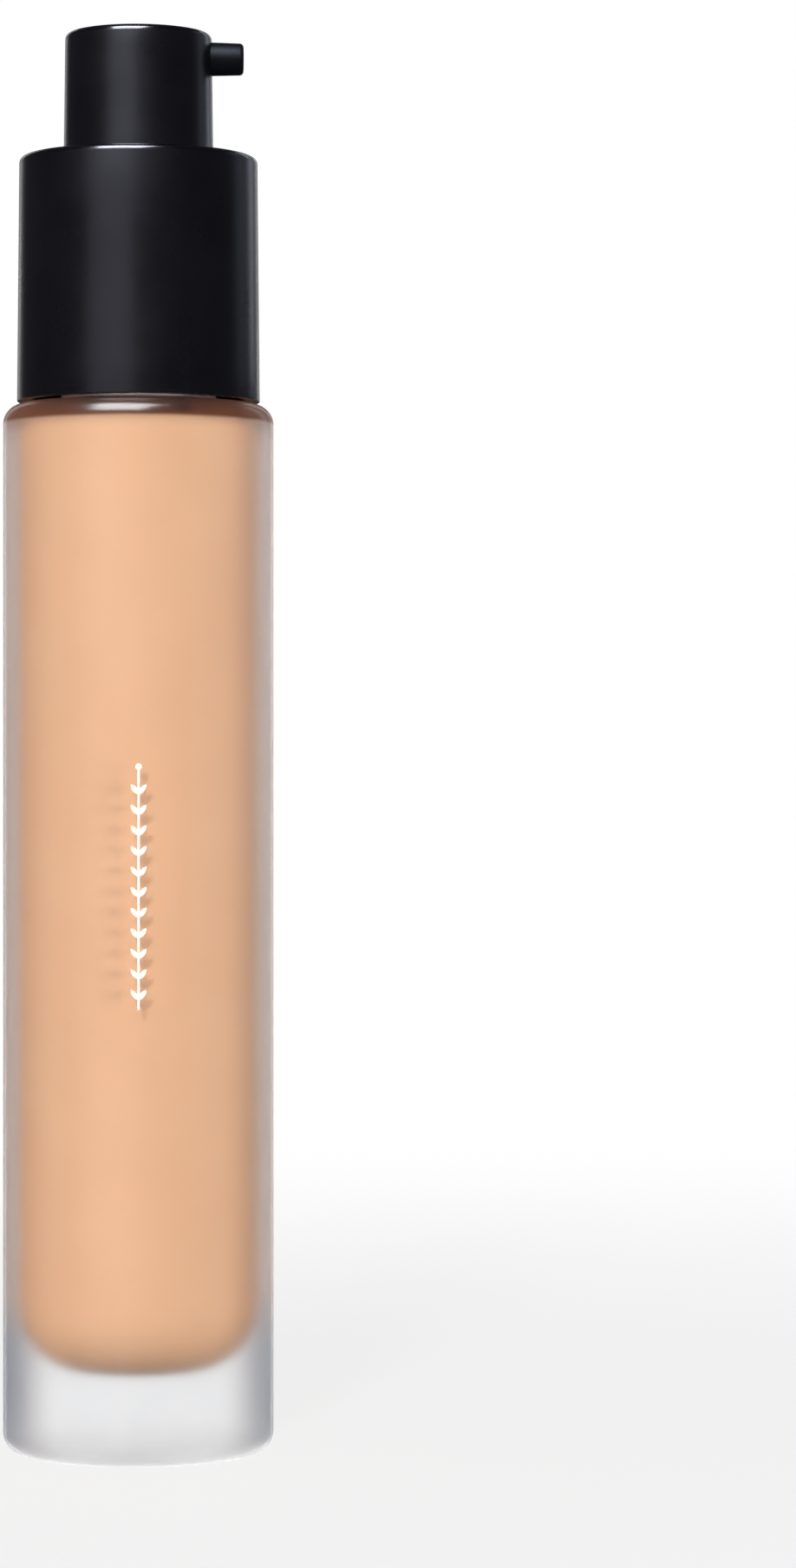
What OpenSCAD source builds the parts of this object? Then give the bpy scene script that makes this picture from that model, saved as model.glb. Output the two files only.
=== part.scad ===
// Liquid foundation bottle with a lotion pump.
// Origin: centre of the base, on the axis. +Z up, +X along the nozzle, -Y the printed front.

/* [Glass bottle] */
// Outer radius of the glass
glass_r = 13.5; // [13:0.25:14.5]
// Height of the shoulder above the table
shoulder_z = 104.6; // [98:0.2:110]
// Thickness of the side wall
glass_wall = 2.4; // [2:0.1:2.8]
// Thickness of the heavy base
glass_base = 8.2; // [6:0.1:10]
// Thickness of the glass under the shoulder
glass_roof = 1.4; // [1.2:0.1:1.8]
// Rounding of the base's outer edge
base_edge_r = 2.1; // [1.2:0.1:2.4]
// Rounding of the shoulder's outer edge
shoulder_edge_r = 2; // [1:0.1:2]
// Rounding inside, at the bottom
inner_base_r = 6.6; // [4:0.1:8]
// Rounding inside, under the shoulder
inner_roof_r = 1.8; // [1:0.1:2.4]
// Radius of the recess under the base
pushup_r = 9; // [7:0.25:10]
// Depth of the recess under the base
pushup_h = 0.9; // [0.5:0.1:1.5]

/* [Neck finish] */
// Height of the neck above the shoulder
neck_h = 14.8; // [14.4:0.1:15.4]
// Radius of the neck between the threads
neck_r = 7.75; // [7.65:0.05:7.85]
// Radius over the threads
thread_r = 8.85; // [8.7:0.05:8.9]
// Radius of the bore
neck_bore_r = 5; // [4.8:0.1:5.4]
// Rise of the thread in one turn
thread_pitch = 3.175; // [3.1:0.025:3.2]
// Number of turns
thread_turns = 1.5; // [1.25:0.25:1.5]

/* [Collar] */
// Gap between the glass shoulder and the collar
collar_gap = 0.3; // [0.2:0.1:0.6]
// Height of the collar
collar_h = 24.4; // [24.2:0.1:26]
// Outer radius at the top
collar_top_r = 11.89; // [11.7:0.01:12.1]
// Outer radius at the bottom
collar_bottom_r = 12.12; // [11.9:0.01:12.4]
// Wall inside radius, which grips the closure's ribs
collar_bore_r = 10.75; // [10.6:0.05:10.9]
// Radius of the opening around the actuator
collar_mouth_r = 7.78; // [7.7:0.01:8]
// Rounding of the top edge
collar_edge_r = 0.5; // [0.3:0.05:0.8]

/* [Actuator] */
// Height from the collar's top to the actuator's top
actuator_rise = 12.4; // [11.6:0.1:14]
// Outer radius at the top
actuator_top_r = 7.31; // [7.2:0.01:7.4]
// Outer radius at the skirt's lower edge
actuator_skirt_r = 7.5; // [7.45:0.01:7.55]
// Rounding of the top edge
actuator_edge_r = 0.5; // [0.3:0.05:0.8]
// Thickness of the shell
shell_wall = 0.9; // [0.8:0.05:1]
// Height of the nozzle's centre below the actuator's top
nozzle_drop = 2.45; // [2.4:0.05:4]
// How far the nozzle's tip stands from the axis
nozzle_reach = 10.5; // [9.5:0.1:12]
// Radius of the nozzle at its root
nozzle_root_r = 1.7; // [1.6:0.01:1.75]
// Radius of the nozzle at its tip
nozzle_tip_r = 1.58; // [1.45:0.01:1.6]

/* [Pump] */
// Travel of the actuator
stroke = 4; // [3:0.25:4]
// Lost motion before the stem pushes the piston
lost_motion = 0.65; // [0.5:0.05:0.8]
// Radius of the pump chamber
chamber_r = 3.5; // [3.4:0.05:3.55]
// Outer radius of the pump body in the neck
housing_r = 4.4; // [4.3:0.05:4.5]
// Outer radius of the stem
stem_r = 2; // [1.9:0.05:2.05]
// Outer radius of the dip tube
tube_r = 1.5; // [1.4:0.05:1.6]
// Bore radius of the dip tube
tube_bore_r = 1; // [0.8:0.05:1.1]
// Radius of the check ball
ball_r = 1.5; // [1.45:0.01:1.55]
// Wire radius of the return spring
wire_r = 0.25; // [0.2:0.01:0.28]
// Active turns of the return spring
spring_turns = 6; // [5:0.5:6.5]

/* [Front ornament] */
// Height of the ornament
mark_h = 24; // [16:1:30]
// Height of its middle above the table
mark_z = 56.7; // [40:0.5:70]
// Pairs of leaves
leaf_pairs = 11; // [5:1:12]
// Length of a leaf
leaf_len = 1.25; // [0.7:0.05:1.4]
// Width of a leaf
leaf_w = 0.5; // [0.3:0.02:0.6]

/* [Hidden] */
$fn = 96;
eps = 0.5;
fit_gap = 0.03;
cast_gap = 0.05;

// Glass, from the base up
cavity_r = glass_r - glass_wall;
roof_z = shoulder_z - glass_roof;
lip_z = shoulder_z + neck_h;
pushup_sphere_r = (pushup_r * pushup_r + pushup_h * pushup_h) / (2 * pushup_h);
neck_fillet_r = 0.8;
lip_edge_r = 0.45;
bead_ring_r = 0.7;
bead_r = 8.7;
bead_h = 4.8;
bead_z = shoulder_z + bead_h;

// Threads: a ridge on the neck and one in the closure, half a pitch below it
thread_steps = 24;
thread_fade = 3;
thread_fade_min = 0.15;
thread_sink = 0.2;
ridge_root_w = 0.85;
ridge_crest_w = 0.4;
neck_thread_h = 8.6;
neck_thread_z = shoulder_z + neck_thread_h;
thread_gap = 0.25;
closure_bore_r = thread_r + thread_gap;
closure_crest_r = neck_r + thread_gap;
closure_thread_z = neck_thread_z - thread_pitch / 2;

// Stack on the lip
gasket_t = 0.8;
gasket_gap = 0.2;
gasket_bore_r = housing_r + gasket_gap;
flange_r = neck_r - cast_gap;
flange_z = lip_z + gasket_t;
flange_t = 1.1;
rim_gap = 0.08;
rim_z = flange_z + flange_t + rim_gap;
rim_t = 1.17;
mouth_z = rim_z + rim_t + rim_gap;
retainer_t = 0.8;
retainer_r = 6.2;

// Closure and its ribs
closure_r = 10.2;
closure_lift = 2.9;
closure_z = shoulder_z + closure_lift;
rib_count = 24;
rib_w = 0.9;
rib_top_gap = 1;
rib_low_gap = 1.5;

// Collar
collar_z = shoulder_z + collar_gap;
collar_top_z = collar_z + collar_h;
collar_plate = 1.2;
sleeve_wall = 0.8;
sleeve_h = 2.8;
collar_mouth_edge_r = 0.25;
collar_lead_in = 0.4;

// Actuator
top_z = collar_top_z + actuator_rise;
skirt_gap = 0.35;
skirt_z = rim_z + rim_t + stroke + skirt_gap;
shell_top = 1;
shell_bore_top_r = actuator_top_r - shell_wall;
shell_bore_low_r = actuator_skirt_r - shell_wall;
core_gap = 0.15;
core_z = mouth_z + retainer_t + stroke + core_gap;
core_top_z = top_z - shell_top;
core_plate = 0.9;
core_r = shell_bore_top_r - cast_gap;
core_boss_r = 3.3;
core_ring_wall = 0.7;
core_ring_h = 3.1;
socket_depth = 7;
socket_top_z = core_z + socket_depth;
nozzle_z = top_z - nozzle_drop;
outlet_w = 3.8;
outlet_h = 3.7;
outlet_len = sqrt(core_r * core_r - outlet_w * outlet_w / 4);
channel_r = 0.8;
nozzle_tail_r = 1.2;
nozzle_tail_x = 3.2;
nozzle_bore_r = 0.6;
nozzle_edge_r = 0.4;
nozzle_hole_gap = 0.05;

// Pump, from the stem's stop down
plug_h = 2.15;
plug_z = flange_z - plug_h;
piston_top_z = plug_z - cast_gap;
piston_h = 4.4;
piston_z = piston_top_z - piston_h;
lip_h = 0.9;
waist_depth = 0.45;
seal_lip_t = 0.3;
groove_in_r = 2.5;
groove_taper = 0.2;
stem_top_gap = 0.6;
stem_top_z = socket_top_z - stem_top_gap;
stem_step_z = piston_top_z + lost_motion;
stem_low_r = 1.5;
stem_bore_r = 1;
port_r = 0.4;
seat_top_z = piston_z - cast_gap;
seat_collar_h = 0.95;
seat_collar_r = 2.3;
seat_edge_r = 1.9;
seat_flange_r = 2.9;
seat_flange_t = 1;
seat_socket_h = 1.35;
spring_z = seat_top_z - seat_collar_h - seat_flange_t;
spigot_r = 1.85;
spigot_h = 2.4;
spring_r = 2.55;
spring_len = 9.8;
wire_steps = 16;
shelf_z = spring_z - spring_len;
spring_seat_h = 2.7;
spring_seat_r = 3;
shelf_t = 1;
vent_r = 0.4;

// Ball valve and tube socket under the shelf
cage_r = 1.9;
cage_h = 4.2;
cage_z = shelf_z - cage_h;
finger_t = 0.8;
finger_r = 0.9;
finger_slot_w = 1.2;
inlet_r = 0.9;
inlet_h = 1;
socket_h = 6;
socket_z = cage_z - inlet_h - socket_h;
spout_wall = 0.9;
cage_wall = 1.05;
ball_gap = 0.03;
ball_z = cage_z - inlet_r + (ball_r + ball_gap) * sqrt(2);

// Dip tube
tube_top_z = socket_z + socket_h;
tube_end_gap = 1.2;
tube_end_z = glass_base + tube_end_gap;
tube_cut = 40;

// Liquid
fill_gap = 0.05;
fill_r = cavity_r - fill_gap;
fill_low_z = glass_base + fill_gap;
fill_top_z = roof_z - 2 * fill_gap;
pump_well_gap = 0.2;
pump_well_r = housing_r + pump_well_gap;
tube_well_gap = 0.25;
tube_well_r = tube_r + tube_well_gap;

// Ornament
ink_t = 0.05;
ink_slab = 2;
sprig_line_w = 0.24;
sprig_bud_r = 0.32;
leaf_angle = 52;

// The sliver outside a rounded convex corner at (x, z); sx and sz point out of the material.
module corner_waste(x, z, r, sx = 1, sz = 1) {
    translate([x - sx * r, z - sz * r])
        difference() {
            translate([sx > 0 ? 0 : -r - eps, sz > 0 ? 0 : -r - eps])
                square(r + eps);
            circle(r);
        }
}

// The web that rounds a concave corner at (x, z); sx and sz point into the open side.
module corner_web(x, z, r, sx = 1, sz = 1) {
    difference() {
        translate([sx > 0 ? x - eps : x - r, sz > 0 ? z - eps : z - r])
            square(r + eps);
        translate([x + sx * r, z + sz * r])
            circle(r);
    }
}

// A rectangle in the (radius, height) plane.
module band(r_in, r_out, z_low, z_high) {
    translate([r_in, z_low])
        square([r_out - r_in, z_high - z_low]);
}

// One helical ridge, right-handed, that fades out at both ends.
// root_r lies inside the wall that carries it; crest_r is its top.
module thread_ridge(root_r, crest_r, z_start) {
    steps = round(thread_turns * thread_steps);
    outward = crest_r > root_r;
    function fade(i) = min(1, thread_fade_min + (1 - thread_fade_min) * min(i, steps - i) / thread_fade);
    function ring(i) = let (
        a = 360 * i / thread_steps,
        z = z_start + thread_pitch * i / thread_steps,
        r = root_r + (crest_r - root_r) * fade(i)
    ) [
        [root_r * cos(a), root_r * sin(a), z - ridge_root_w],
        [r * cos(a), r * sin(a), z - ridge_crest_w],
        [r * cos(a), r * sin(a), z + ridge_crest_w],
        [root_r * cos(a), root_r * sin(a), z + ridge_root_w]
    ];
    function facing(f) = outward ? [f[2], f[1], f[0]] : f;
    points = [for (i = [0 : steps]) each ring(i)];
    sides = [for (i = [0 : steps - 1], k = [0 : 3]) let (
        a = 4 * i + k,
        b = 4 * i + (k + 1) % 4
    ) each [facing([a, b + 4, b]), facing([a, a + 4, b + 4])]];
    last = 4 * steps;
    caps = [
        facing([0, 1, 2]), facing([0, 2, 3]),
        facing([last + 2, last + 1, last]), facing([last + 3, last + 2, last])
    ];
    polyhedron(points = points, faces = concat(sides, caps), convexity = 8);
}

module glass_bottle() {
    color([0.86, 0.87, 0.88, 0.6]) {
        rotate_extrude()
            difference() {
                union() {
                    band(0, glass_r, 0, shoulder_z);
                    band(0, neck_r, shoulder_z - eps, lip_z);
                    corner_web(neck_r, shoulder_z, neck_fillet_r);
                    intersection() {
                        translate([bead_r - bead_ring_r, bead_z])
                            circle(bead_ring_r);
                        band(neck_r - eps, glass_r, shoulder_z, lip_z);
                    }
                }
                corner_waste(glass_r, 0, base_edge_r, 1, -1);
                corner_waste(glass_r, shoulder_z, shoulder_edge_r);
                corner_waste(neck_r, lip_z, lip_edge_r);
                translate([0, pushup_h - pushup_sphere_r])
                    circle(pushup_sphere_r);
                difference() {
                    band(-eps, cavity_r, glass_base, roof_z);
                    corner_waste(cavity_r, glass_base, inner_base_r, 1, -1);
                    corner_waste(cavity_r, roof_z, inner_roof_r);
                }
                band(-eps, neck_bore_r, roof_z - eps, lip_z + eps);
            }
        thread_ridge(neck_r - thread_sink, thread_r, neck_thread_z);
    }
}

module foundation_fill() {
    color([0.91, 0.71, 0.55])
        rotate_extrude()
            difference() {
                band(0, fill_r, fill_low_z, fill_top_z);
                corner_waste(fill_r, fill_low_z, inner_base_r - fill_gap, 1, -1);
                corner_waste(fill_r, fill_top_z, inner_roof_r - fill_gap);
                band(-eps, pump_well_r, socket_z - eps, fill_top_z + eps);
                band(-eps, tube_well_r, tube_end_z - fill_gap, fill_top_z);
            }
}

// A leaf between two arcs, from the origin along +X.
module leaf() {
    arc_r = (leaf_len * leaf_len / 4 + leaf_w * leaf_w / 4) / leaf_w;
    translate([leaf_len / 2, 0])
        intersection() {
            translate([0, arc_r - leaf_w / 2])
                circle(arc_r);
            translate([0, leaf_w / 2 - arc_r])
                circle(arc_r);
        }
}

module sprig() {
    leaf_step = mark_h / (leaf_pairs + 1);
    translate([-sprig_line_w / 2, -mark_h / 2])
        square([sprig_line_w, mark_h - sprig_bud_r]);
    translate([0, mark_h / 2 - sprig_bud_r])
        circle(sprig_bud_r);
    for (i = [1 : leaf_pairs], side = [0, 1])
        translate([0, -mark_h / 2 + (i - 0.5) * leaf_step])
            mirror([side, 0])
                rotate(leaf_angle)
                    leaf();
}

module printed_mark() {
    color([0.97, 0.95, 0.90])
        intersection() {
            rotate([90, 0, 0])
                translate([0, mark_z, glass_r - ink_slab / 2])
                    linear_extrude(ink_slab)
                        sprig();
            rotate_extrude()
                band(glass_r, glass_r + ink_t, mark_z - mark_h, mark_z + mark_h);
        }
}

module neck_gasket() {
    color([0.93, 0.93, 0.92])
        rotate_extrude()
            band(gasket_bore_r, flange_r, lip_z, flange_z);
}

module screw_closure() {
    rib_reach = collar_bore_r - fit_gap;
    rib_len = sqrt(rib_reach * rib_reach - rib_w * rib_w / 4);
    color([0.10, 0.10, 0.11]) {
        rotate_extrude() {
            band(closure_bore_r, closure_r, closure_z, rim_z + rim_t);
            band(housing_r + fit_gap * 2, closure_r, rim_z, rim_z + rim_t);
        }
        thread_ridge(closure_bore_r + thread_sink, closure_crest_r, closure_thread_z);
        for (i = [0 : rib_count - 1])
            rotate(i * 360 / rib_count)
                translate([closure_r - thread_sink, -rib_w / 2, closure_z + rib_low_gap])
                    cube([
                        rib_len - closure_r + thread_sink,
                        rib_w,
                        rim_z + rim_t - closure_z - rib_low_gap - rib_top_gap
                    ]);
    }
}

module collar_shroud() {
    color([0.09, 0.09, 0.10])
        rotate_extrude()
            difference() {
                polygon([
                    [0, collar_z],
                    [collar_bottom_r, collar_z],
                    [collar_top_r, collar_top_z - collar_edge_r],
                    [collar_top_r, collar_top_z],
                    [0, collar_top_z]
                ]);
                corner_waste(collar_top_r, collar_top_z, collar_edge_r);
                difference() {
                    band(-eps, collar_bore_r, collar_z - eps, collar_top_z - collar_plate);
                    band(
                        collar_mouth_r,
                        collar_mouth_r + sleeve_wall,
                        collar_top_z - collar_plate - sleeve_h,
                        collar_top_z
                    );
                }
                polygon([
                    [collar_bore_r - eps, collar_z - eps],
                    [collar_bore_r + collar_lead_in + eps, collar_z - eps],
                    [collar_bore_r - eps, collar_z + collar_lead_in + eps]
                ]);
                band(-eps, collar_mouth_r, collar_z, collar_top_z + eps);
                corner_waste(collar_mouth_r, collar_top_z, collar_mouth_edge_r, -1, 1);
            }
}

module pump_housing() {
    color([0.90, 0.90, 0.89])
        difference() {
            rotate_extrude()
                difference() {
                    union() {
                        seat_wall_r = spring_seat_r + spout_wall;
                        band(0, housing_r, shelf_z + spring_seat_h, mouth_z);
                        band(0, flange_r, flange_z, flange_z + flange_t);
                        band(0, seat_wall_r, shelf_z - shelf_t, shelf_z + spring_seat_h + eps);
                        band(0, cage_r + cage_wall, cage_z, shelf_z + eps);
                        band(0, tube_r + spout_wall, socket_z, cage_z + eps);
                    }
                    band(-eps, chamber_r, shelf_z + spring_seat_h, mouth_z + eps);
                    band(-eps, spring_seat_r, shelf_z, mouth_z);
                    difference() {
                        band(-eps, cage_r, cage_z - eps, shelf_z + eps);
                        band(finger_r, cage_r + eps, shelf_z - finger_t, shelf_z);
                        polygon([
                            [inlet_r, cage_z],
                            [cage_r + eps, cage_z + cage_r + eps - inlet_r],
                            [cage_r + eps, cage_z - 2 * eps],
                            [inlet_r, cage_z - 2 * eps]
                        ]);
                    }
                    band(-eps, inlet_r, socket_z, cage_z + eps);
                    band(-eps, tube_r, socket_z - eps, socket_z + socket_h);
                }
            for (i = [0 : 2])
                rotate(60 + i * 120)
                    translate([finger_r - eps, -finger_slot_w / 2, shelf_z - finger_t])
                        cube([cage_r - finger_r + eps, finger_slot_w, finger_t + eps]);
            translate([0, 0, piston_top_z - piston_h / 2])
                rotate([0, 90, 0])
                    cylinder(r = vent_r, h = housing_r + eps);
        }
}

module dip_tube() {
    color([0.95, 0.95, 0.95, 0.7])
        difference() {
            rotate_extrude()
                band(tube_bore_r, tube_r, tube_end_z, tube_top_z);
            translate([-tube_r, 0, tube_end_z])
                rotate([0, tube_cut, 0])
                    translate([-tube_r, -2 * tube_r, -4 * tube_r])
                        cube([6 * tube_r, 4 * tube_r, 4 * tube_r]);
        }
}

module inlet_ball() {
    color([0.75, 0.76, 0.78])
        translate([0, 0, ball_z])
            sphere(ball_r);
}

// The wire is one swept tube: closed, ground-flat end turns are left out.
module return_spring() {
    steps = round(spring_turns * wire_steps);
    sides = 6;
    low_z = shelf_z + wire_r + cast_gap;
    rise = spring_len - 2 * wire_r - 2 * cast_gap;
    function ring(i) = let (a = 360 * spring_turns * i / steps, z = low_z + rise * i / steps) [
        for (k = [0 : sides - 1]) let (b = 360 * k / sides, r = spring_r + wire_r * cos(b))
            [r * cos(a), r * sin(a), z + wire_r * sin(b)]
    ];
    points = [for (i = [0 : steps]) each ring(i)];
    skin = [for (i = [0 : steps - 1], k = [0 : sides - 1]) let (
        a = sides * i + k,
        b = sides * i + (k + 1) % sides
    ) each [[a, b + sides, b], [a, a + sides, b + sides]]];
    caps = [
        [for (k = [0 : sides - 1]) k],
        [for (k = [sides - 1 : -1 : 0]) sides * steps + k]
    ];
    color([0.74, 0.75, 0.77])
        polyhedron(points = points, faces = concat(skin, caps), convexity = 10);
}

module piston() {
    seal_r = chamber_r - fit_gap;
    waist_r = seal_r - waist_depth;
    groove_out_r = seal_r - seal_lip_t;
    color([0.96, 0.96, 0.95])
        rotate_extrude()
            difference() {
                polygon([
                    [stem_low_r + fit_gap, piston_z],
                    [seal_r, piston_z],
                    [seal_r, piston_z + lip_h],
                    [waist_r, piston_z + lip_h + waist_depth],
                    [waist_r, piston_top_z - lip_h - waist_depth],
                    [seal_r, piston_top_z - lip_h],
                    [seal_r, piston_top_z],
                    [stem_low_r + fit_gap, piston_top_z]
                ]);
                polygon([
                    [groove_in_r, piston_z - eps],
                    [groove_out_r, piston_z - eps],
                    [groove_out_r, piston_z],
                    [groove_in_r + groove_taper, piston_z + lip_h]
                ]);
            }
}

module piston_seat() {
    color([0.93, 0.93, 0.92])
        rotate_extrude()
            polygon([
                [0, spring_z - spigot_h],
                [spigot_r, spring_z - spigot_h],
                [spigot_r, spring_z],
                [seat_flange_r, spring_z],
                [seat_flange_r, spring_z + seat_flange_t],
                [seat_collar_r, spring_z + seat_flange_t],
                [seat_edge_r, seat_top_z],
                [stem_low_r, seat_top_z],
                [stem_low_r, seat_top_z - seat_socket_h],
                [0, seat_top_z - seat_socket_h]
            ]);
}

module stem() {
    color([0.94, 0.94, 0.93])
        difference() {
            union() {
                translate([0, 0, seat_top_z - seat_socket_h])
                    cylinder(r = stem_low_r, h = stem_step_z - seat_top_z + seat_socket_h + eps);
                translate([0, 0, stem_step_z])
                    cylinder(r = stem_r, h = stem_top_z - stem_step_z);
            }
            translate([0, 0, seat_top_z - seat_socket_h - eps])
                cylinder(r = stem_bore_r, h = stem_top_z - seat_top_z + seat_socket_h + 2 * eps);
            translate([0, 0, piston_z + port_r + fit_gap])
                rotate([0, 90, 0])
                    cylinder(r = port_r, h = 2 * stem_r + eps, center = true);
        }
}

module stem_retainer() {
    color([0.91, 0.91, 0.90])
        rotate_extrude()
            difference() {
                union() {
                    band(0, chamber_r, plug_z, mouth_z + eps);
                    band(0, retainer_r, mouth_z, mouth_z + retainer_t);
                }
                band(-eps, stem_r + 2 * fit_gap, plug_z - eps, mouth_z + retainer_t + eps);
            }
}

module actuator_core() {
    color([0.12, 0.12, 0.13])
        difference() {
            union() {
                translate([0, 0, core_top_z - core_plate])
                    cylinder(r = core_r, h = core_plate);
                translate([0, 0, core_z])
                    cylinder(r = core_boss_r, h = core_top_z - core_z);
                translate([0, 0, core_top_z - core_plate - core_ring_h])
                    difference() {
                        cylinder(r = core_r, h = core_ring_h + core_plate / 2);
                        translate([0, 0, -eps])
                            cylinder(r = core_r - core_ring_wall, h = core_ring_h + core_plate + eps);
                    }
                translate([0, -outlet_w / 2, core_top_z - outlet_h])
                    cube([outlet_len, outlet_w, outlet_h]);
            }
            translate([0, 0, core_z - eps])
                cylinder(r = stem_r + fit_gap, h = socket_top_z - core_z + eps);
            translate([0, 0, socket_top_z - eps])
                cylinder(r = channel_r, h = nozzle_z - socket_top_z + eps);
            translate([0, 0, nozzle_z])
                rotate([0, 90, 0])
                    cylinder(r = channel_r, h = nozzle_tail_x + eps);
            translate([nozzle_tail_x, 0, nozzle_z])
                rotate([0, 90, 0])
                    cylinder(r = nozzle_tail_r, h = core_r);
        }
}

module actuator_shell() {
    color([0.09, 0.09, 0.10])
        difference() {
            rotate_extrude()
                difference() {
                    polygon([
                        [0, skirt_z],
                        [actuator_skirt_r, skirt_z],
                        [actuator_top_r, top_z - actuator_edge_r],
                        [actuator_top_r, top_z],
                        [0, top_z]
                    ]);
                    corner_waste(actuator_top_r, top_z, actuator_edge_r);
                    polygon([
                        [-eps, skirt_z - eps],
                        [shell_bore_low_r, skirt_z - eps],
                        [shell_bore_top_r, core_top_z],
                        [-eps, core_top_z]
                    ]);
                }
            translate([core_r - eps, 0, nozzle_z])
                rotate([0, 90, 0])
                    cylinder(r = nozzle_root_r + nozzle_hole_gap, h = shell_wall + 3 * eps);
        }
}

module nozzle_insert() {
    color([0.07, 0.07, 0.08])
        translate([0, 0, nozzle_z])
            rotate([0, 90, 0])
                rotate_extrude()
                    difference() {
                        polygon([
                            [nozzle_bore_r, nozzle_tail_x],
                            [nozzle_tail_r, nozzle_tail_x],
                            [nozzle_tail_r, core_r],
                            [nozzle_root_r, core_r],
                            [nozzle_tip_r, nozzle_reach - nozzle_edge_r],
                            [nozzle_tip_r, nozzle_reach],
                            [nozzle_bore_r, nozzle_reach]
                        ]);
                        corner_waste(nozzle_tip_r, nozzle_reach, nozzle_edge_r);
                    }
}

glass_bottle();
foundation_fill();
printed_mark();
neck_gasket();
screw_closure();
collar_shroud();
pump_housing();
dip_tube();
inlet_ball();
return_spring();
piston();
piston_seat();
stem();
stem_retainer();
actuator_core();
actuator_shell();
nozzle_insert();
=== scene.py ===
"""Looks for the foundation bottle: frosted glass, cream liquid, satin black collar and pump head."""

import math

import bmesh
import bpy
from mathutils import Matrix, Vector


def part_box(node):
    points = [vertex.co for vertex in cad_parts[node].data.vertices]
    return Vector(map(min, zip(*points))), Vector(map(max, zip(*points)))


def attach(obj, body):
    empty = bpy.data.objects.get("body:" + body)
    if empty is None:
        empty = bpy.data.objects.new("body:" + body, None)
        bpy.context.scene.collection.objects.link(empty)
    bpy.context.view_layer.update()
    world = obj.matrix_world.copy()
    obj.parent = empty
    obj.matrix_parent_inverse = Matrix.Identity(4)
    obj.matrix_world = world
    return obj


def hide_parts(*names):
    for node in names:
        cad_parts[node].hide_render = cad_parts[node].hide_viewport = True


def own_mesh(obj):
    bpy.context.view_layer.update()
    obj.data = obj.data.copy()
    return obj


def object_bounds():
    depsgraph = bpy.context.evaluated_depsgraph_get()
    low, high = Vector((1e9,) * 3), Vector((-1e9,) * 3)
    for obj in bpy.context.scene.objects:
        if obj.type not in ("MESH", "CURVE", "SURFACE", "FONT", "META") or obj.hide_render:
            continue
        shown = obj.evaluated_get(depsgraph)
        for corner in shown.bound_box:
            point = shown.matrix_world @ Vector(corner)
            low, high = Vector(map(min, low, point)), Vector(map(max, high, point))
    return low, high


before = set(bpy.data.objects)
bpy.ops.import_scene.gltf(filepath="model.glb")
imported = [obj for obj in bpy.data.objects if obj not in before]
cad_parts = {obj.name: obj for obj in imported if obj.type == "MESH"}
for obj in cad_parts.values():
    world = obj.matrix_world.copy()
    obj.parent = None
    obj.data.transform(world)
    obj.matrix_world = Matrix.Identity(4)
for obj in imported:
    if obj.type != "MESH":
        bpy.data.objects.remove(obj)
cad_low, cad_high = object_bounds()

MM = 0.001
SEGMENTS = 160
NOZZLE_SEGMENTS = 64
ARC_STEPS = 10
DOME_STEPS = 8
BEAD_STEPS = 12
SHARP_ANGLE = math.radians(32)
ON_AXIS_R = 1e-6


# ---------------------------------------------------------------- sizes, in millimetres

def top_of(node):
    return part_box(node)[1].z / MM


def bottom_of(node):
    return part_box(node)[0].z / MM


def reach_of(node):
    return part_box(node)[1].x / MM


# Glass: the outline comes from the CAD box, the walls are as in the design.
GLASS_R = reach_of("glass_bottle")
LIP_Z = top_of("glass_bottle")
NECK_H = 14.8
SHOULDER_Z = LIP_Z - NECK_H
BASE_EDGE_R = 2.1
SHOULDER_EDGE_R = 2.0
WALL = 2.4
BASE_T = 8.2
ROOF_T = 1.4
CAVITY_R = GLASS_R - WALL
ROOF_Z = SHOULDER_Z - ROOF_T
INNER_BASE_R = 6.6
INNER_ROOF_R = 1.8
PUSHUP_R = 9.0
PUSHUP_H = 0.9
NECK_R = 7.75
NECK_BORE_R = 5.0
NECK_FILLET_R = 0.8
LIP_EDGE_R = 0.45
BEAD_CENTRE_R = 8.0
BEAD_RING_R = 0.7
BEAD_Z = SHOULDER_Z + 4.8
THREAD_R = 8.85
THREAD_PITCH = 3.175
THREAD_TURNS = 1.5
THREAD_Z = SHOULDER_Z + 8.6
THREAD_SINK = 0.2
THREAD_ROOT_W = 0.85
THREAD_CREST_W = 0.4
THREAD_STEPS = 72
THREAD_FADE_STEPS = 6
THREAD_END_HEIGHT = 0.15

# Painted shade: the shoulder's rounding lies in the collar's shade and looks dark brown, so the glass
# is painted that brown there by its height.
SHADE_LOW_Z = SHOULDER_Z - SHOULDER_EDGE_R - 0.15
SHADE_FULL_Z = SHOULDER_Z - SHOULDER_EDGE_R + 0.25
SHADE_FADE_Z = SHOULDER_Z + 0.2
SHADE_END_Z = SHOULDER_Z + 0.6
SHADE_COLOUR = (0.16, 0.055, 0.03)

# Painted shade, in part: the glass is darkened at its rims, warm beside the liquid and cool in the
# clear base, partly for the long path through thick glass, partly for the dim surroundings seen
# through the rims. A rim starts and is full at these values of Layer Weight's facing.
RIM_START = 0.18
RIM_FULL = 0.62
WALL_RIM_COLOUR = (0.55, 0.475, 0.45)
BASE_RIM_COLOUR = (0.38, 0.395, 0.43)
BASE_RIM_LOW_Z = BASE_T + 1.0
BASE_RIM_HIGH_Z = BASE_T + 9.0

# Liquid: it wets the glass, so it reaches a hair into the wall.
WETTING = 0.02
PUMP_WELL_R = 4.6
TUBE_WELL_R = 1.75
PUMP_WELL_GAP = 0.5
TUBE_WELL_GAP = 0.05
PUMP_WELL_Z = bottom_of("pump_housing") - PUMP_WELL_GAP
TUBE_WELL_Z = bottom_of("dip_tube") - TUBE_WELL_GAP

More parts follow.
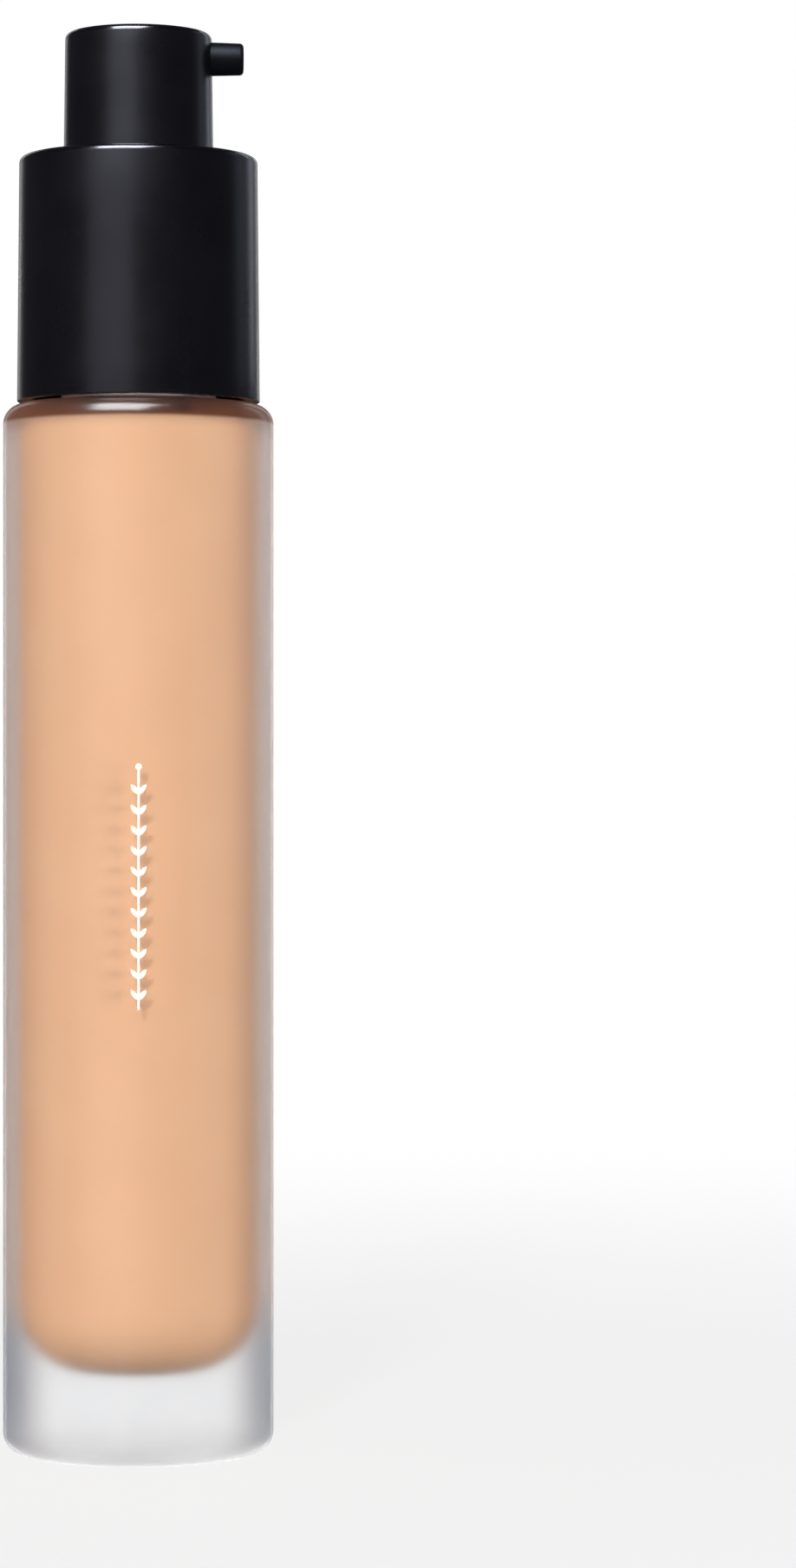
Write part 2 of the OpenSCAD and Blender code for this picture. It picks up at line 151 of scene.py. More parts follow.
# Collar
COLLAR_Z = bottom_of("collar_shroud")
COLLAR_TOP_Z = top_of("collar_shroud")
COLLAR_BOTTOM_R = reach_of("collar_shroud")
COLLAR_TOP_R = 11.89
COLLAR_EDGE_R = 0.65
COLLAR_HEM_R = 0.08
COLLAR_BORE_R = 10.75
COLLAR_MOUTH_R = 7.78
COLLAR_MOUTH_EDGE_R = 0.25
COLLAR_PLATE = 1.2
SLEEVE_WALL = 0.8
SLEEVE_H = 2.8
SLEEVE_EDGE_R = 0.1
COLLAR_LEAD_IN = 0.4

# Actuator
SKIRT_Z = bottom_of("actuator_shell")
TOP_Z = top_of("actuator_shell")
SKIRT_R = reach_of("actuator_shell")
ACTUATOR_TOP_R = 7.31
ACTUATOR_EDGE_R = 0.65
SKIRT_EDGE_R = 0.12
SHELL_TOP = 1.0
SHELL_BORE_TOP_R = 6.41
SHELL_BORE_LOW_R = 6.6
NOZZLE_LOW, NOZZLE_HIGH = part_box("nozzle_insert")
NOZZLE_Z = (NOZZLE_LOW.z + NOZZLE_HIGH.z) / 2 / MM
NOZZLE_ROOT_R = (NOZZLE_HIGH.z - NOZZLE_LOW.z) / 2 / MM
NOZZLE_TAIL_X = NOZZLE_LOW.x / MM
NOZZLE_TIP_X = NOZZLE_HIGH.x / MM
NOZZLE_ROOT_X = 6.36
NOZZLE_TIP_R = 1.58
NOZZLE_TAIL_R = 1.2
NOZZLE_BORE_R = 0.6
NOZZLE_EDGE_R = 0.4
NOZZLE_MOUTH_EDGE_R = 0.15

# Spring
SPRING_LOW_Z = bottom_of("return_spring")
SPRING_HIGH_Z = top_of("return_spring")
SPRING_R = 2.55
WIRE_R = 0.25
WIRE_SIDES = 12
SPRING_TURNS = 6.0
SPRING_END_TURNS = 0.9
SPRING_STEPS = 240


# ---------------------------------------------------------------- mesh helpers

def rounded(points):
    """An outline of (r, z) points from (r, z) or (r, z, fillet radius) corners."""
    out = []
    for i, corner in enumerate(points):
        fillet = corner[2] if len(corner) > 2 else 0.0
        here = Vector(corner[:2])
        if fillet == 0.0:
            out.append(tuple(here))
            continue
        before = (Vector(points[i - 1][:2]) - here).normalized()
        after = (Vector(points[(i + 1) % len(points)][:2]) - here).normalized()
        half = before.angle(after) / 2
        centre = here + (before + after).normalized() * (fillet / math.sin(half))
        start = here + before * (fillet / math.tan(half)) - centre
        end = here + after * (fillet / math.tan(half)) - centre
        sweep = start.angle_signed(end)
        for k in range(ARC_STEPS + 1):
            turn = Matrix.Rotation(-sweep * k / ARC_STEPS, 2)
            out.append(tuple(centre + turn @ start))
    return out


def arc(centre, radius, start_deg, end_deg, steps):
    """Points on a circle in the (r, z) plane."""
    out = []
    for k in range(steps + 1):
        a = math.radians(start_deg + (end_deg - start_deg) * k / steps)
        out.append((centre[0] + radius * math.cos(a), centre[1] + radius * math.sin(a)))
    return out


def subdivided(outline, longest):
    """The outline with no stretch longer than this, so that long walls get rings.

    The stretch that closes a closed outline stays whole.
    """
    out = []
    for p, q in zip(outline, outline[1:]):
        pieces = math.ceil(math.dist(p, q) / longest)
        out.append(p)
        for k in range(1, pieces):
            t = k / pieces
            out.append((p[0] + (q[0] - p[0]) * t, p[1] + (q[1] - p[1]) * t))
    out.append(outline[-1])
    return out


def lathe(name, outline, closed, segments=SEGMENTS):
    """Turns an outline of (r, z) points about Z. An open outline starts and ends on the axis."""
    bm = bmesh.new()
    rings = []
    for r, z in outline:
        if r < ON_AXIS_R:
            rings.append([bm.verts.new((0, 0, z * MM))] * segments)
        else:
            ring = []
            for k in range(segments):
                a = 2 * math.pi * k / segments
                ring.append(bm.verts.new((r * math.cos(a) * MM, r * math.sin(a) * MM, z * MM)))
            rings.append(ring)
    pairs = list(zip(rings, rings[1:]))
    if closed:
        pairs.append((rings[-1], rings[0]))
    for low, high in pairs:
        for k in range(segments):
            n = (k + 1) % segments
            corners = []
            for v in (low[k], low[n], high[n], high[k]):
                if v not in corners:
                    corners.append(v)
            if len(corners) > 2:
                bm.faces.new(corners)
    bmesh.ops.recalc_face_normals(bm, faces=bm.faces)
    return finished(name, bm)


def finished(name, bm):
    """A mesh object from a bmesh, smooth but for its sharp edges."""
    mesh = bpy.data.meshes.new(name)
    bm.to_mesh(mesh)
    bm.free()
    mesh.shade_smooth()
    mesh.set_sharp_from_angle(angle=SHARP_ANGLE)
    obj = bpy.data.objects.new(name, mesh)
    bpy.context.scene.collection.objects.link(obj)
    return obj


def swept(name, rings):
    """A closed tube through rings of points, all with the same count."""
    bm = bmesh.new()
    verts = [[bm.verts.new(Vector(p) * MM) for p in ring] for ring in rings]
    count = len(rings[0])
    for a, b in zip(verts, verts[1:]):
        for k in range(count):
            n = (k + 1) % count
            bm.faces.new((a[k], a[n], b[n], b[k]))
    bm.faces.new(verts[0])
    bm.faces.new(verts[-1])
    bmesh.ops.recalc_face_normals(bm, faces=bm.faces)
    return finished(name, bm)


def unite(target, added):
    """An exact union of two objects, kept in target; the added one is removed."""
    mod = target.modifiers.new("unite", "BOOLEAN")
    mod.operation = "UNION"
    mod.solver = "EXACT"
    mod.object = added
    bpy.context.view_layer.update()
    evaluated = target.evaluated_get(bpy.context.evaluated_depsgraph_get())
    done = bpy.data.meshes.new_from_object(evaluated)
    target.modifiers.clear()
    target.data = done
    bpy.data.objects.remove(added)
    done.shade_smooth()
    done.set_sharp_from_angle(angle=SHARP_ANGLE)


# ---------------------------------------------------------------- material helpers

NOISE_LOW = 0.3
NOISE_HIGH = 0.7
PLASTIC_GRAIN = 9000
PLASTIC_GRAIN_DEPTH = 2e-6
RUBBED_ROUGHNESS = 0.16


def material(name):
    mat = bpy.data.materials.new(name)
    mat.use_nodes = True
    nodes = mat.node_tree.nodes
    return mat, nodes, mat.node_tree.links, nodes["Principled BSDF"]


def noise(nodes, links, scale, detail):
    """A 3D noise in the piece's own metres; scale is in features per metre."""
    coords = nodes.new("ShaderNodeTexCoord")
    tex = nodes.new("ShaderNodeTexNoise")
    tex.inputs["Scale"].default_value = scale
    tex.inputs["Detail"].default_value = detail
    links.new(coords.outputs["Object"], tex.inputs["Vector"])
    return tex


def ramp_value(nodes, links, source, low, high):
    """Maps the middle of a noise's range onto low to high."""
    node = nodes.new("ShaderNodeMapRange")
    node.inputs["From Min"].default_value = NOISE_LOW
    node.inputs["From Max"].default_value = NOISE_HIGH
    node.inputs["To Min"].default_value = low
    node.inputs["To Max"].default_value = high
    links.new(source, node.inputs["Value"])
    return node.outputs["Result"]


def ramp_colour(nodes, links, source, low, high):
    """Maps the middle of a noise's range onto a blend of two colours."""
    node = nodes.new("ShaderNodeMix")
    node.data_type = "RGBA"
    node.inputs["A"].default_value = (*low, 1)
    node.inputs["B"].default_value = (*high, 1)
    links.new(ramp_value(nodes, links, source, 0, 1), node.inputs["Factor"])
    return node.outputs["Result"]


def smooth_step(nodes, links, source, start, end):
    """0 up to start and 1 from end on, with a soft change between them. End may be below start."""
    node = nodes.new("ShaderNodeMapRange")
    node.interpolation_type = "SMOOTHSTEP"
    node.inputs["From Min"].default_value = start
    node.inputs["From Max"].default_value = end
    links.new(source, node.inputs["Value"])
    return node.outputs["Result"]


def arithmetic(nodes, links, operation, *values):
    """One Math node; each value is a socket or a number."""
    node = nodes.new("ShaderNodeMath")
    node.operation = operation
    for value, socket in zip(values, node.inputs):
        if isinstance(value, (int, float)):
            socket.default_value = value
        else:
            links.new(value, socket)
    return node.outputs[0]


def tinted(nodes, links, amount, colour, tint):
    """The colour where amount is 0, the tint where it is 1."""
    node = nodes.new("ShaderNodeMix")
    node.data_type = "RGBA"
    links.new(amount, node.inputs["Factor"])
    links.new(colour, node.inputs["A"])
    node.inputs["B"].default_value = (*tint, 1)
    return node.outputs["Result"]


def add_bump(nodes, links, shader, source, distance):
    """Fine relief from a texture; distance is its depth in metres."""
    bump = nodes.new("ShaderNodeBump")
    bump.inputs["Distance"].default_value = distance
    bump.inputs["Strength"].default_value = 1.0
    links.new(source, bump.inputs["Height"])
    links.new(bump.outputs["Normal"], shader.inputs["Normal"])


def moulded_plastic(name, dark, light, rough_low, rough_high):
    """Moulded plastic: slight tone and gloss variation with a fine spark-eroded grain."""
    mat, nodes, links, bsdf = material(name)
    broad = noise(nodes, links, scale=140, detail=3)
    fine = noise(nodes, links, PLASTIC_GRAIN, detail=1)
    colour = ramp_colour(nodes, links, broad.outputs["Fac"], dark, light)
    links.new(colour, bsdf.inputs["Base Color"])
    roughness = ramp_value(nodes, links, broad.outputs["Fac"], rough_low, rough_high)
    links.new(roughness, bsdf.inputs["Roughness"])
    add_bump(nodes, links, bsdf, fine.outputs["Fac"], PLASTIC_GRAIN_DEPTH)
    return mat


def satin_black():
    """Black plastic, rubbed smooth along its upper edges, which the normal's Z picks out."""
    dark, light = (0.0014, 0.0014, 0.0026), (0.0022, 0.0022, 0.0038)
    mat = moulded_plastic("satin_black", dark, light, 0.26, 0.31)
    nodes, links = mat.node_tree.nodes, mat.node_tree.links
    bsdf = nodes["Principled BSDF"]
    bsdf.inputs["Specular Tint"].default_value = (0.84, 0.84, 1.0, 1)
    coords = nodes.new("ShaderNodeTexCoord")
    axes = nodes.new("ShaderNodeSeparateXYZ")
    links.new(coords.outputs["Normal"], axes.inputs[0])
    off_wall = smooth_step(nodes, links, axes.outputs["Z"], start=0.08, end=0.30)
    off_top = smooth_step(nodes, links, axes.outputs["Z"], start=0.99, end=0.93)
    edge = arithmetic(nodes, links, "MULTIPLY", off_wall, off_top)
    moulded = bsdf.inputs["Roughness"].links[0].from_socket
    rubbed = nodes.new("ShaderNodeMix")
    rubbed.inputs["B"].default_value = RUBBED_ROUGHNESS
    links.new(edge, rubbed.inputs["Factor"])
    links.new(moulded, rubbed.inputs["A"])
    links.new(rubbed.outputs["Result"], bsdf.inputs["Roughness"])
    return mat


def dull_black():
    """The nozzle's black plastic, which hardly shines."""
    dark, light = (0.0028, 0.0030, 0.0042), (0.0040, 0.0042, 0.0058)
    mat = moulded_plastic("dull_black", dark, light, 0.45, 0.52)
    bsdf = mat.node_tree.nodes["Principled BSDF"]
    bsdf.inputs["Specular IOR Level"].default_value = 0.10
    bsdf.inputs["Specular Tint"].default_value = (0.70, 0.78, 1.0, 1)
    return mat


def frosted_glass():
    """Acid-etched glass. A low index keeps the liquid near its true width, and a coat adds gloss.

    Shadow and diffuse rays pass straight through, so the liquid is lit.
    """
    mat, nodes, links, bsdf = material("frosted_glass")
    bsdf.inputs["Transmission Weight"].default_value = 0.97
    bsdf.inputs["IOR"].default_value = 1.14
    bsdf.inputs["Coat Weight"].default_value = 0.55
    bsdf.inputs["Coat Roughness"].default_value = 0.22
    broad = noise(nodes, links, scale=160, detail=3)
    fine = noise(nodes, links, scale=7000, detail=2)
    dark, light = (0.815, 0.82, 0.83), (0.85, 0.852, 0.86)
    etched = ramp_colour(nodes, links, broad.outputs["Fac"], dark, light)
    coords = nodes.new("ShaderNodeTexCoord")
    place_axes = nodes.new("ShaderNodeSeparateXYZ")
    links.new(coords.outputs["Object"], place_axes.inputs[0])
    height = place_axes.outputs["Z"]
    normal_axes = nodes.new("ShaderNodeSeparateXYZ")
    links.new(coords.outputs["Normal"], normal_axes.inputs[0])
    # Painted shade, in part: the rims are tinted darker by facing, and cooler low down in the base.
    facing = nodes.new("ShaderNodeLayerWeight")
    facing.inputs["Blend"].default_value = 0.5
    rim = smooth_step(nodes, links, facing.outputs["Facing"], RIM_START, RIM_FULL)
    level = arithmetic(nodes, links, "ABSOLUTE", normal_axes.outputs["Z"])
    upright = arithmetic(nodes, links, "SUBTRACT", 1.0, level)
    side = arithmetic(nodes, links, "MULTIPLY", rim, upright)
    beside_liquid = tinted(nodes, links, side, etched, WALL_RIM_COLOUR)
    low_down = smooth_step(nodes, links, height, BASE_RIM_HIGH_Z * MM, BASE_RIM_LOW_Z * MM)
    low_side = arithmetic(nodes, links, "MULTIPLY", side, low_down)
    edged = tinted(nodes, links, low_side, beside_liquid, BASE_RIM_COLOUR)
    # Painted shade: the glass is tinted dark brown across the shoulder's rounding, by height.
    above = smooth_step(nodes, links, height, SHADE_LOW_Z * MM, SHADE_FULL_Z * MM)
    below = smooth_step(nodes, links, height, SHADE_END_Z * MM, SHADE_FADE_Z * MM)
    shoulder = arithmetic(nodes, links, "MULTIPLY", above, below)
    links.new(tinted(nodes, links, shoulder, edged, SHADE_COLOUR), bsdf.inputs["Base Color"])
    links.new(ramp_value(nodes, links, fine.outputs["Fac"], 0.6, 0.7), bsdf.inputs["Roughness"])
    add_bump(nodes, links, bsdf, fine.outputs["Fac"], distance=6e-6)
    links.new(bsdf.inputs["Normal"].links[0].from_socket, bsdf.inputs["Coat Normal"])
    path = nodes.new("ShaderNodeLightPath")
    clear = nodes.new("ShaderNodeBsdfTransparent")
    clear.inputs["Color"].default_value = (0.95, 0.95, 0.95, 1)
    surface = bsdf.outputs[0]
    for ray in ("Is Shadow Ray", "Is Diffuse Ray"):
        mix = nodes.new("ShaderNodeMixShader")
        links.new(path.outputs[ray], mix.inputs[0])
        links.new(surface, mix.inputs[1])
        links.new(clear.outputs[0], mix.inputs[2])
        surface = mix.outputs[0]
    links.new(surface, nodes["Material Output"].inputs["Surface"])
    return mat


def cream_liquid():
    """Foundation: opaque, with faint swirls of pigment."""
    mat, nodes, links, bsdf = material("cream_liquid")
    swirl = noise(nodes, links, scale=55, detail=4)
    swirl.inputs["Distortion"].default_value = 1.5
    dark, light = (0.80, 0.445, 0.25), (0.83, 0.475, 0.272)
    colour = ramp_colour(nodes, links, swirl.outputs["Fac"], dark, light)
    links.new(colour, bsdf.inputs["Base Color"])
    links.new(ramp_value(nodes, links, swirl.outputs["Fac"], 0.45, 0.55), bsdf.inputs["Roughness"])
    bsdf.inputs["Specular IOR Level"].default_value = 0.0
    return mat


def printed_ink():
    """Cream screen-printing ink with a dry grain."""
    mat, nodes, links, bsdf = material("printed_ink")
    grain = noise(nodes, links, scale=6000, detail=2)
    colour = ramp_colour(nodes, links, grain.outputs["Fac"], (0.90, 0.86, 0.76), (0.95, 0.92, 0.84))
    links.new(colour, bsdf.inputs["Base Color"])
    links.new(ramp_value(nodes, links, grain.outputs["Fac"], 0.45, 0.6), bsdf.inputs["Roughness"])
    add_bump(nodes, links, bsdf, grain.outputs["Fac"], distance=4e-6)
    return mat


def drawn_steel():
    """Stainless wire and ball with fine drawing marks."""
    mat, nodes, links, bsdf = material("drawn_steel")
    bsdf.inputs["Metallic"].default_value = 1.0
    marks = noise(nodes, links, scale=3000, detail=3)
    colour = ramp_colour(nodes, links, marks.outputs["Fac"], (0.55, 0.55, 0.56), (0.68, 0.68, 0.68))
    links.new(colour, bsdf.inputs["Base Color"])
    links.new(ramp_value(nodes, links, marks.outputs["Fac"], 0.18, 0.32), bsdf.inputs["Roughness"])
    add_bump(nodes, links, bsdf, marks.outputs["Fac"], distance=2e-6)
    return mat


def foam_gasket():
    """Closed-cell foam with small cells."""
    mat, nodes, links, bsdf = material("foam_gasket")
    coords = nodes.new("ShaderNodeTexCoord")
    cells = nodes.new("ShaderNodeTexVoronoi")
    cells.inputs["Scale"].default_value = 5000
    links.new(coords.outputs["Object"], cells.inputs["Vector"])
    colour = ramp_colour(nodes, links, cells.outputs["Distance"], (0.78, 0.78, 0.76), (0.88, 0.88, 0.86))
    links.new(colour, bsdf.inputs["Base Color"])
    bsdf.inputs["Roughness"].default_value = 0.85
    add_bump(nodes, links, bsdf, cells.outputs["Distance"], distance=2e-5)
    return mat


# ---------------------------------------------------------------- pieces

def dress(obj, mat):
    obj.data.materials.clear()
    obj.data.materials.append(mat)


def place(obj, mat, body, node):
    """Rides on a body in place of a CAD node, with the given finish."""
    dress(obj, mat)
    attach(obj, body)
    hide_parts(node)


def glass_outline():
    """From the middle of the underside, up the outside, over the lip, and down to the cavity's floor."""
    dome_r = (PUSHUP_R ** 2 + PUSHUP_H ** 2) / (2 * PUSHUP_H)
    rim_deg = math.degrees(math.acos(PUSHUP_R / dome_r))
    dome = arc((0, PUSHUP_H - dome_r), dome_r, 90, rim_deg, DOME_STEPS)
    bead_deg = math.degrees(math.acos((NECK_R - BEAD_CENTRE_R) / BEAD_RING_R))
    bead = arc((BEAD_CENTRE_R, BEAD_Z), BEAD_RING_R, -bead_deg, bead_deg, BEAD_STEPS)
    outside = rounded([
        (PUSHUP_R, 0), (GLASS_R, 0, BASE_EDGE_R), (GLASS_R, SHOULDER_Z, SHOULDER_EDGE_R),
        (NECK_R, SHOULDER_Z, NECK_FILLET_R), bead[0],
    ])
    inside = rounded([
        bead[-1], (NECK_R, LIP_Z, LIP_EDGE_R), (NECK_BORE_R, LIP_Z, LIP_EDGE_R / 2),
        (NECK_BORE_R, ROOF_Z), (CAVITY_R, ROOF_Z, INNER_ROOF_R),
        (CAVITY_R, BASE_T, INNER_BASE_R), (0, BASE_T),
    ])
    return subdivided(dome + outside[1:-1] + bead + inside[1:], longest=4.0)


def thread_rings():
    """Rings of the helical ridge on the neck, which fades out at both ends."""
    root = NECK_R - THREAD_SINK
    rings = []
    for i in range(THREAD_STEPS + 1):
        a = 2 * math.pi * THREAD_TURNS * i / THREAD_STEPS
        z = THREAD_Z + THREAD_PITCH * THREAD_TURNS * i / THREAD_STEPS
        from_end = min(i, THREAD_STEPS - i) / THREAD_FADE_STEPS
        fade = min(1.0, THREAD_END_HEIGHT + (1 - THREAD_END_HEIGHT) * from_end)
        crest = root + (THREAD_R - root) * fade
        profile = (
            (root, -THREAD_ROOT_W), (crest, -THREAD_CREST_W),
            (crest, THREAD_CREST_W), (root, THREAD_ROOT_W),
        )
        rings.append([(r * math.cos(a), r * math.sin(a), z + w) for r, w in profile])
    return rings


def make_bottle(mat):
    glass = lathe("bottle_glass", glass_outline(), closed=False)
    unite(glass, swept("neck_thread", thread_rings()))
    place(glass, mat, "bottle", "glass_bottle")


def make_liquid(mat):
    r = CAVITY_R + WETTING
    low = BASE_T - WETTING
    high = ROOF_Z + WETTING
    outline = rounded([
        (0, low), (r, low, INNER_BASE_R), (r, high, INNER_ROOF_R), (PUMP_WELL_R, high),
        (PUMP_WELL_R, PUMP_WELL_Z), (TUBE_WELL_R, PUMP_WELL_Z),
        (TUBE_WELL_R, TUBE_WELL_Z), (0, TUBE_WELL_Z),
    ])
    liquid = lathe("liquid_foundation", subdivided(outline, longest=6.0), closed=False)
    place(liquid, mat, "bottle", "foundation_fill")


def make_collar(mat):
    plate_z = COLLAR_TOP_Z - COLLAR_PLATE
    sleeve_z = plate_z - SLEEVE_H
    sleeve_r = COLLAR_MOUTH_R + SLEEVE_WALL
    outline = rounded([
        (COLLAR_BOTTOM_R, COLLAR_Z, COLLAR_HEM_R), (COLLAR_TOP_R, COLLAR_TOP_Z, COLLAR_EDGE_R),
        (COLLAR_MOUTH_R, COLLAR_TOP_Z, COLLAR_MOUTH_EDGE_R), (COLLAR_MOUTH_R, sleeve_z, SLEEVE_EDGE_R),
        (sleeve_r, sleeve_z, SLEEVE_EDGE_R), (sleeve_r, plate_z), (COLLAR_BORE_R, plate_z),
        (COLLAR_BORE_R, COLLAR_Z + COLLAR_LEAD_IN), (COLLAR_BORE_R + COLLAR_LEAD_IN, COLLAR_Z),
    ])
    collar = lathe("collar_sleeve", subdivided(outline, longest=3.0), closed=True)
    place(collar, mat, "closure", "collar_shroud")


def make_actuator(mat):
    """The button. It has no hole for the nozzle, which runs straight through its wall."""
    outline = rounded([
        (0, TOP_Z), (ACTUATOR_TOP_R, TOP_Z, ACTUATOR_EDGE_R), (SKIRT_R, SKIRT_Z, SKIRT_EDGE_R),
        (SHELL_BORE_LOW_R, SKIRT_Z, SKIRT_EDGE_R), (SHELL_BORE_TOP_R, TOP_Z - SHELL_TOP),
        (0, TOP_Z - SHELL_TOP),
    ])
    shell = lathe("actuator_cap", subdivided(outline, longest=1.5), closed=False)
    place(shell, mat, "actuator", "actuator_shell")


def make_nozzle(mat):
    outline = rounded([
        (NOZZLE_BORE_R, NOZZLE_TAIL_X), (NOZZLE_TAIL_R, NOZZLE_TAIL_X), (NOZZLE_TAIL_R, NOZZLE_ROOT_X),
        (NOZZLE_ROOT_R, NOZZLE_ROOT_X), (NOZZLE_TIP_R, NOZZLE_TIP_X, NOZZLE_EDGE_R),
        (NOZZLE_BORE_R, NOZZLE_TIP_X, NOZZLE_MOUTH_EDGE_R),
    ])
    points = subdivided(outline, longest=1.0)
    spout = lathe("nozzle_spout", points, closed=True, segments=NOZZLE_SEGMENTS)
    from_z_to_x = Matrix(((0, 0, 1, 0), (0, 1, 0, 0), (-1, 0, 0, NOZZLE_Z * MM), (0, 0, 0, 1)))
    spout.data.transform(from_z_to_x)
    place(spout, mat, "actuator", "nozzle_insert")


def make_spring(mat):
    """A helix with closed end turns."""
    end_share = SPRING_END_TURNS / SPRING_TURNS
    low = SPRING_LOW_Z + WIRE_R
    high = SPRING_HIGH_Z - WIRE_R
    end_rise = 2 * WIRE_R * SPRING_END_TURNS
    rings = []
    for i in range(SPRING_STEPS + 1):
        t = i / SPRING_STEPS
        if t < end_share:
            z = low + end_rise * t / end_share
        elif t > 1 - end_share:
            z = high - end_rise * (1 - t) / end_share
        else:
            open_rise = high - low - 2 * end_rise
            z = low + end_rise + open_rise * (t - end_share) / (1 - 2 * end_share)
        a = 2 * math.pi * SPRING_TURNS * t
        ring = []
        for k in range(WIRE_SIDES):
            b = 2 * math.pi * k / WIRE_SIDES
            r = SPRING_R + WIRE_R * math.cos(b)
            ring.append((r * math.cos(a), r * math.sin(a), z + WIRE_R * math.sin(b)))
        rings.append(ring)
    spring = swept("spring_coil", rings)
    dress(spring, mat)
    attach(spring, "pump_unit")
    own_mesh(spring)
    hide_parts("return_spring")


# ---------------------------------------------------------------- studio: places in metres, lens in mm

CAMERA_Y = -0.480
CAMERA_Z = 0.0667
CAMERA_YAW = math.radians(3.1)
LENS = 110
SENSOR_WIDTH = 36
HEIGHT = cad_high[2] - cad_low[2]


def make_camera():
    data = bpy.data.cameras.new("camera")
    data.lens = LENS
    data.sensor_width = SENSOR_WIDTH
    cam = bpy.data.objects.new("camera", data)
    cam.location = (0, CAMERA_Y, CAMERA_Z)
    cam.rotation_euler = (math.radians(90), 0, -CAMERA_YAW)
    bpy.context.scene.collection.objects.link(cam)
    bpy.context.scene.camera = cam


def make_light(
    name, azimuth, elevation, distance, width, height, watts, colour=(1, 1, 1), glossy=True, diffuse=True
):
    """A soft box that faces the bottle's middle.

    Azimuth and elevation are in degrees. Azimuth 0 is the camera's side, positive to the right.
    """
    data = bpy.data.lights.new(name, "AREA")
    data.shape = "RECTANGLE"
    data.size = width
    data.size_y = height
    data.energy = watts
    data.color = colour
    light = bpy.data.objects.new(name, data)
    a = math.radians(azimuth)
    e = math.radians(elevation)
    aim = Vector((0, 0, HEIGHT / 2))
    offset = Vector((math.sin(a) * math.cos(e), -math.cos(a) * math.cos(e), math.sin(e))) * distance
    light.location = aim + offset
    light.rotation_euler = offset.to_track_quat("Z", "Y").to_euler()
    light.visible_camera = False
    light.visible_transmission = False
    light.visible_glossy = glossy
    light.visible_diffuse = diffuse
    bpy.context.scene.collection.objects.link(light)


WHITE_LEVEL = 1.0
GLOSSY_LEVEL = 0.06
DIFFUSE_LEVEL = 0.08
NEAR_GLOW = 0.8
FLOOR_RADIUS = 30
FLOOR_SIDES = 96
FADE_START = 0.06
FADE_END = 0.45
COOL_LIGHT = (0.80, 0.88, 1.0)


def make_world():
    """White behind and inside the glass, dim where it lights or mirrors, as a studio with black cards."""
    world = bpy.data.worlds.new("studio")
    world.use_nodes = True
    bpy.context.scene.world = world
    nodes, links = world.node_tree.nodes, world.node_tree.links
    background = nodes["Background"]
    background.inputs["Color"].default_value = (1, 1, 1, 1)
    path = nodes.new("ShaderNodeLightPath")
    inside = arithmetic(nodes, links, "MINIMUM", path.outputs["Transmission Depth"], 1.0)
    outside = arithmetic(nodes, links, "SUBTRACT", 1.0, inside)
    mirrored = arithmetic(nodes, links, "MULTIPLY", path.outputs["Is Glossy Ray"], outside)
    glossy = nodes.new("ShaderNodeMix")
    glossy.inputs["A"].default_value = WHITE_LEVEL
    glossy.inputs["B"].default_value = GLOSSY_LEVEL
    links.new(mirrored, glossy.inputs["Factor"])
    diffuse = nodes.new("ShaderNodeMix")
    links.new(glossy.outputs["Result"], diffuse.inputs["A"])
    diffuse.inputs["B"].default_value = DIFFUSE_LEVEL
    links.new(path.outputs["Is Diffuse Ray"], diffuse.inputs["Factor"])
    links.new(diffuse.outputs["Result"], background.inputs["Strength"])


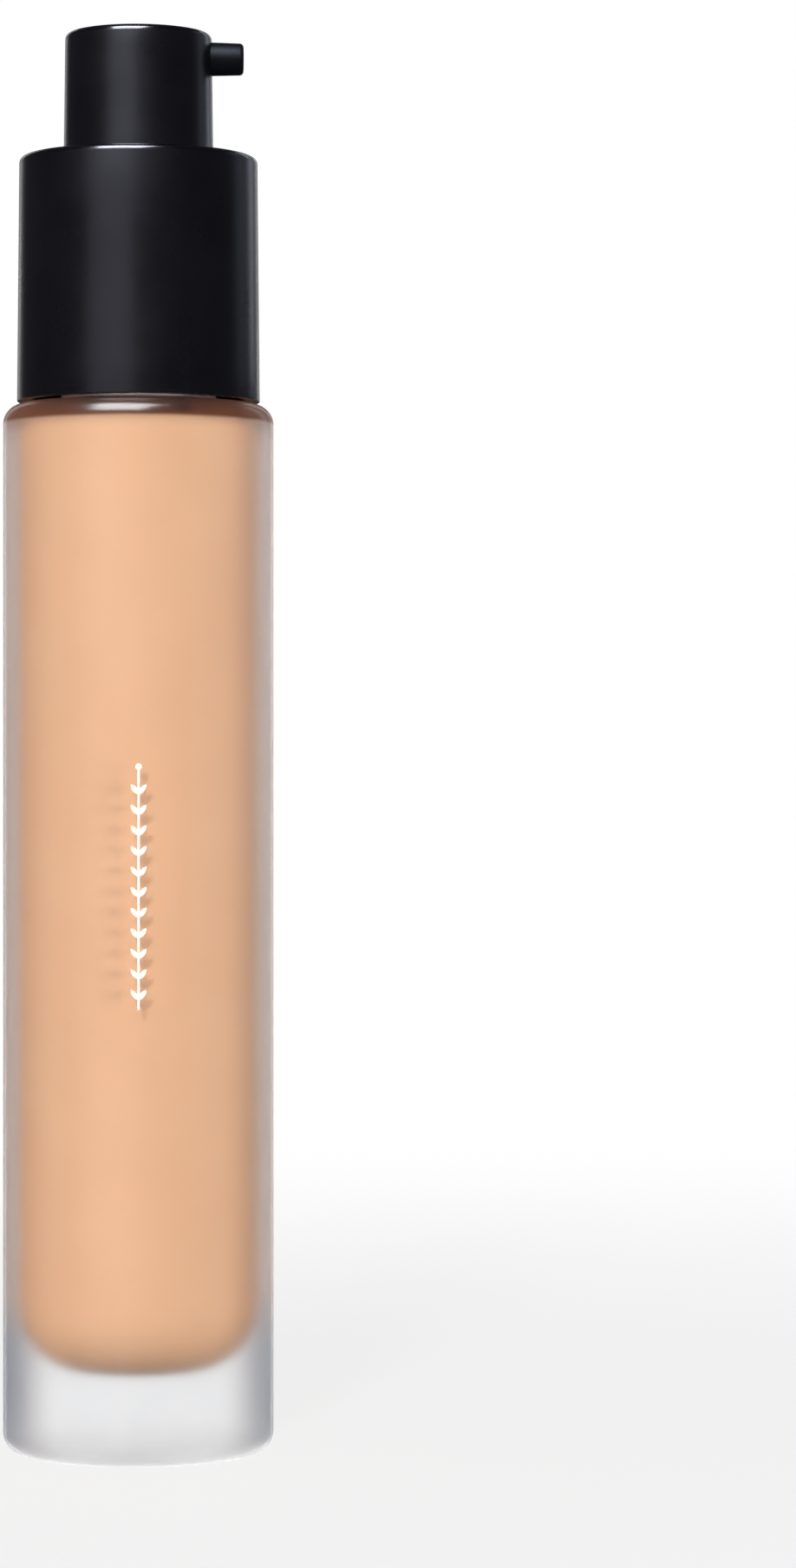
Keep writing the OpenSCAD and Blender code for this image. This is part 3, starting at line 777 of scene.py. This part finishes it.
def make_floor():
    """A pale floor that fades to white away from the bottle."""
    bm = bmesh.new()
    bmesh.ops.create_circle(bm, cap_ends=True, segments=FLOOR_SIDES, radius=FLOOR_RADIUS)
    floor = finished("floor", bm)
    mat, nodes, links, bsdf = material("pale_floor")
    grain = noise(nodes, links, scale=900, detail=3)
    dark, light = (0.84, 0.84, 0.84), (0.86, 0.86, 0.86)
    links.new(ramp_colour(nodes, links, grain.outputs["Fac"], dark, light), bsdf.inputs["Base Color"])
    bsdf.inputs["Roughness"].default_value = 0.7
    bsdf.inputs["Specular IOR Level"].default_value = 0.2
    coords = nodes.new("ShaderNodeTexCoord")
    distance = nodes.new("ShaderNodeVectorMath")
    distance.operation = "LENGTH"
    links.new(coords.outputs["Object"], distance.inputs[0])
    far = smooth_step(nodes, links, distance.outputs["Value"], FADE_START, FADE_END)
    glow = nodes.new("ShaderNodeEmission")
    path = nodes.new("ShaderNodeLightPath")
    dim = nodes.new("ShaderNodeMix")
    dim.inputs["A"].default_value = WHITE_LEVEL
    dim.inputs["B"].default_value = DIFFUSE_LEVEL
    links.new(path.outputs["Is Diffuse Ray"], dim.inputs["Factor"])
    links.new(dim.outputs["Result"], glow.inputs["Strength"])
    faded = arithmetic(nodes, links, "MULTIPLY_ADD", far, 1 - NEAR_GLOW, NEAR_GLOW)
    bright = arithmetic(nodes, links, "MAXIMUM", faded, path.outputs["Is Transmission Ray"])
    mix = nodes.new("ShaderNodeMixShader")
    links.new(bright, mix.inputs[0])
    links.new(bsdf.outputs[0], mix.inputs[1])
    links.new(glow.outputs[0], mix.inputs[2])
    links.new(mix.outputs[0], nodes["Material Output"].inputs["Surface"])
    dress(floor, mat)
    floor.visible_glossy = False


# ---------------------------------------------------------------- build

make_camera()

black = satin_black()
white = moulded_plastic("natural_white", (0.80, 0.80, 0.78), (0.86, 0.86, 0.84), 0.35, 0.45)
tube = moulded_plastic("tube_plastic", (0.84, 0.84, 0.83), (0.90, 0.90, 0.89), 0.25, 0.35)
steel = drawn_steel()

make_bottle(frosted_glass())
make_liquid(cream_liquid())
make_collar(black)
make_actuator(black)
make_nozzle(dull_black())
make_spring(steel)

NODE_MATERIALS = {
    "printed_mark": printed_ink(),
    "neck_gasket": foam_gasket(),
    "screw_closure": black,
    "pump_housing": white,
    "dip_tube": tube,
    "inlet_ball": steel,
    "piston": white,
    "piston_seat": white,
    "stem": white,
    "stem_retainer": white,
    "actuator_core": black,
}
for node, mat in NODE_MATERIALS.items():
    dress(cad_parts[node], mat)

make_world()
make_floor()

# Azimuth and elevation, then distance, width and height in metres, then watts.
make_light("key", -27, 8, 0.80, 0.62, 1.00, 1.2, diffuse=False)
make_light("overhead", -20, 55, 0.50, 0.33, 0.34, 10.0, diffuse=False)
make_light("rim", 138, 23, 0.60, 0.06, 0.32, 0.15, COOL_LIGHT, diffuse=False)
make_light("soft_rim", 114, 23, 0.60, 0.14, 0.32, 0.055, COOL_LIGHT, diffuse=False)
make_light("edge_line_right", 160, 2, 0.60, 0.07, 0.8, 0.3, diffuse=False)
make_light("edge_line_left", -158, 2, 0.60, 0.07, 0.8, 0.3, diffuse=False)
make_light("shadow_maker", -13, 20, 0.90, 0.12, 0.12, 3.6, glossy=False)
make_light("left_fill", -72, 0, 0.70, 0.40, 0.14, 3.5, glossy=False)
make_light("right_fill", 47, 0, 0.70, 0.40, 0.14, 3.6, glossy=False)
make_light("back_fill", 180, 0, 0.70, 0.50, 0.14, 4.0, glossy=False)
bpy.context.scene.view_settings.view_transform = "Standard"
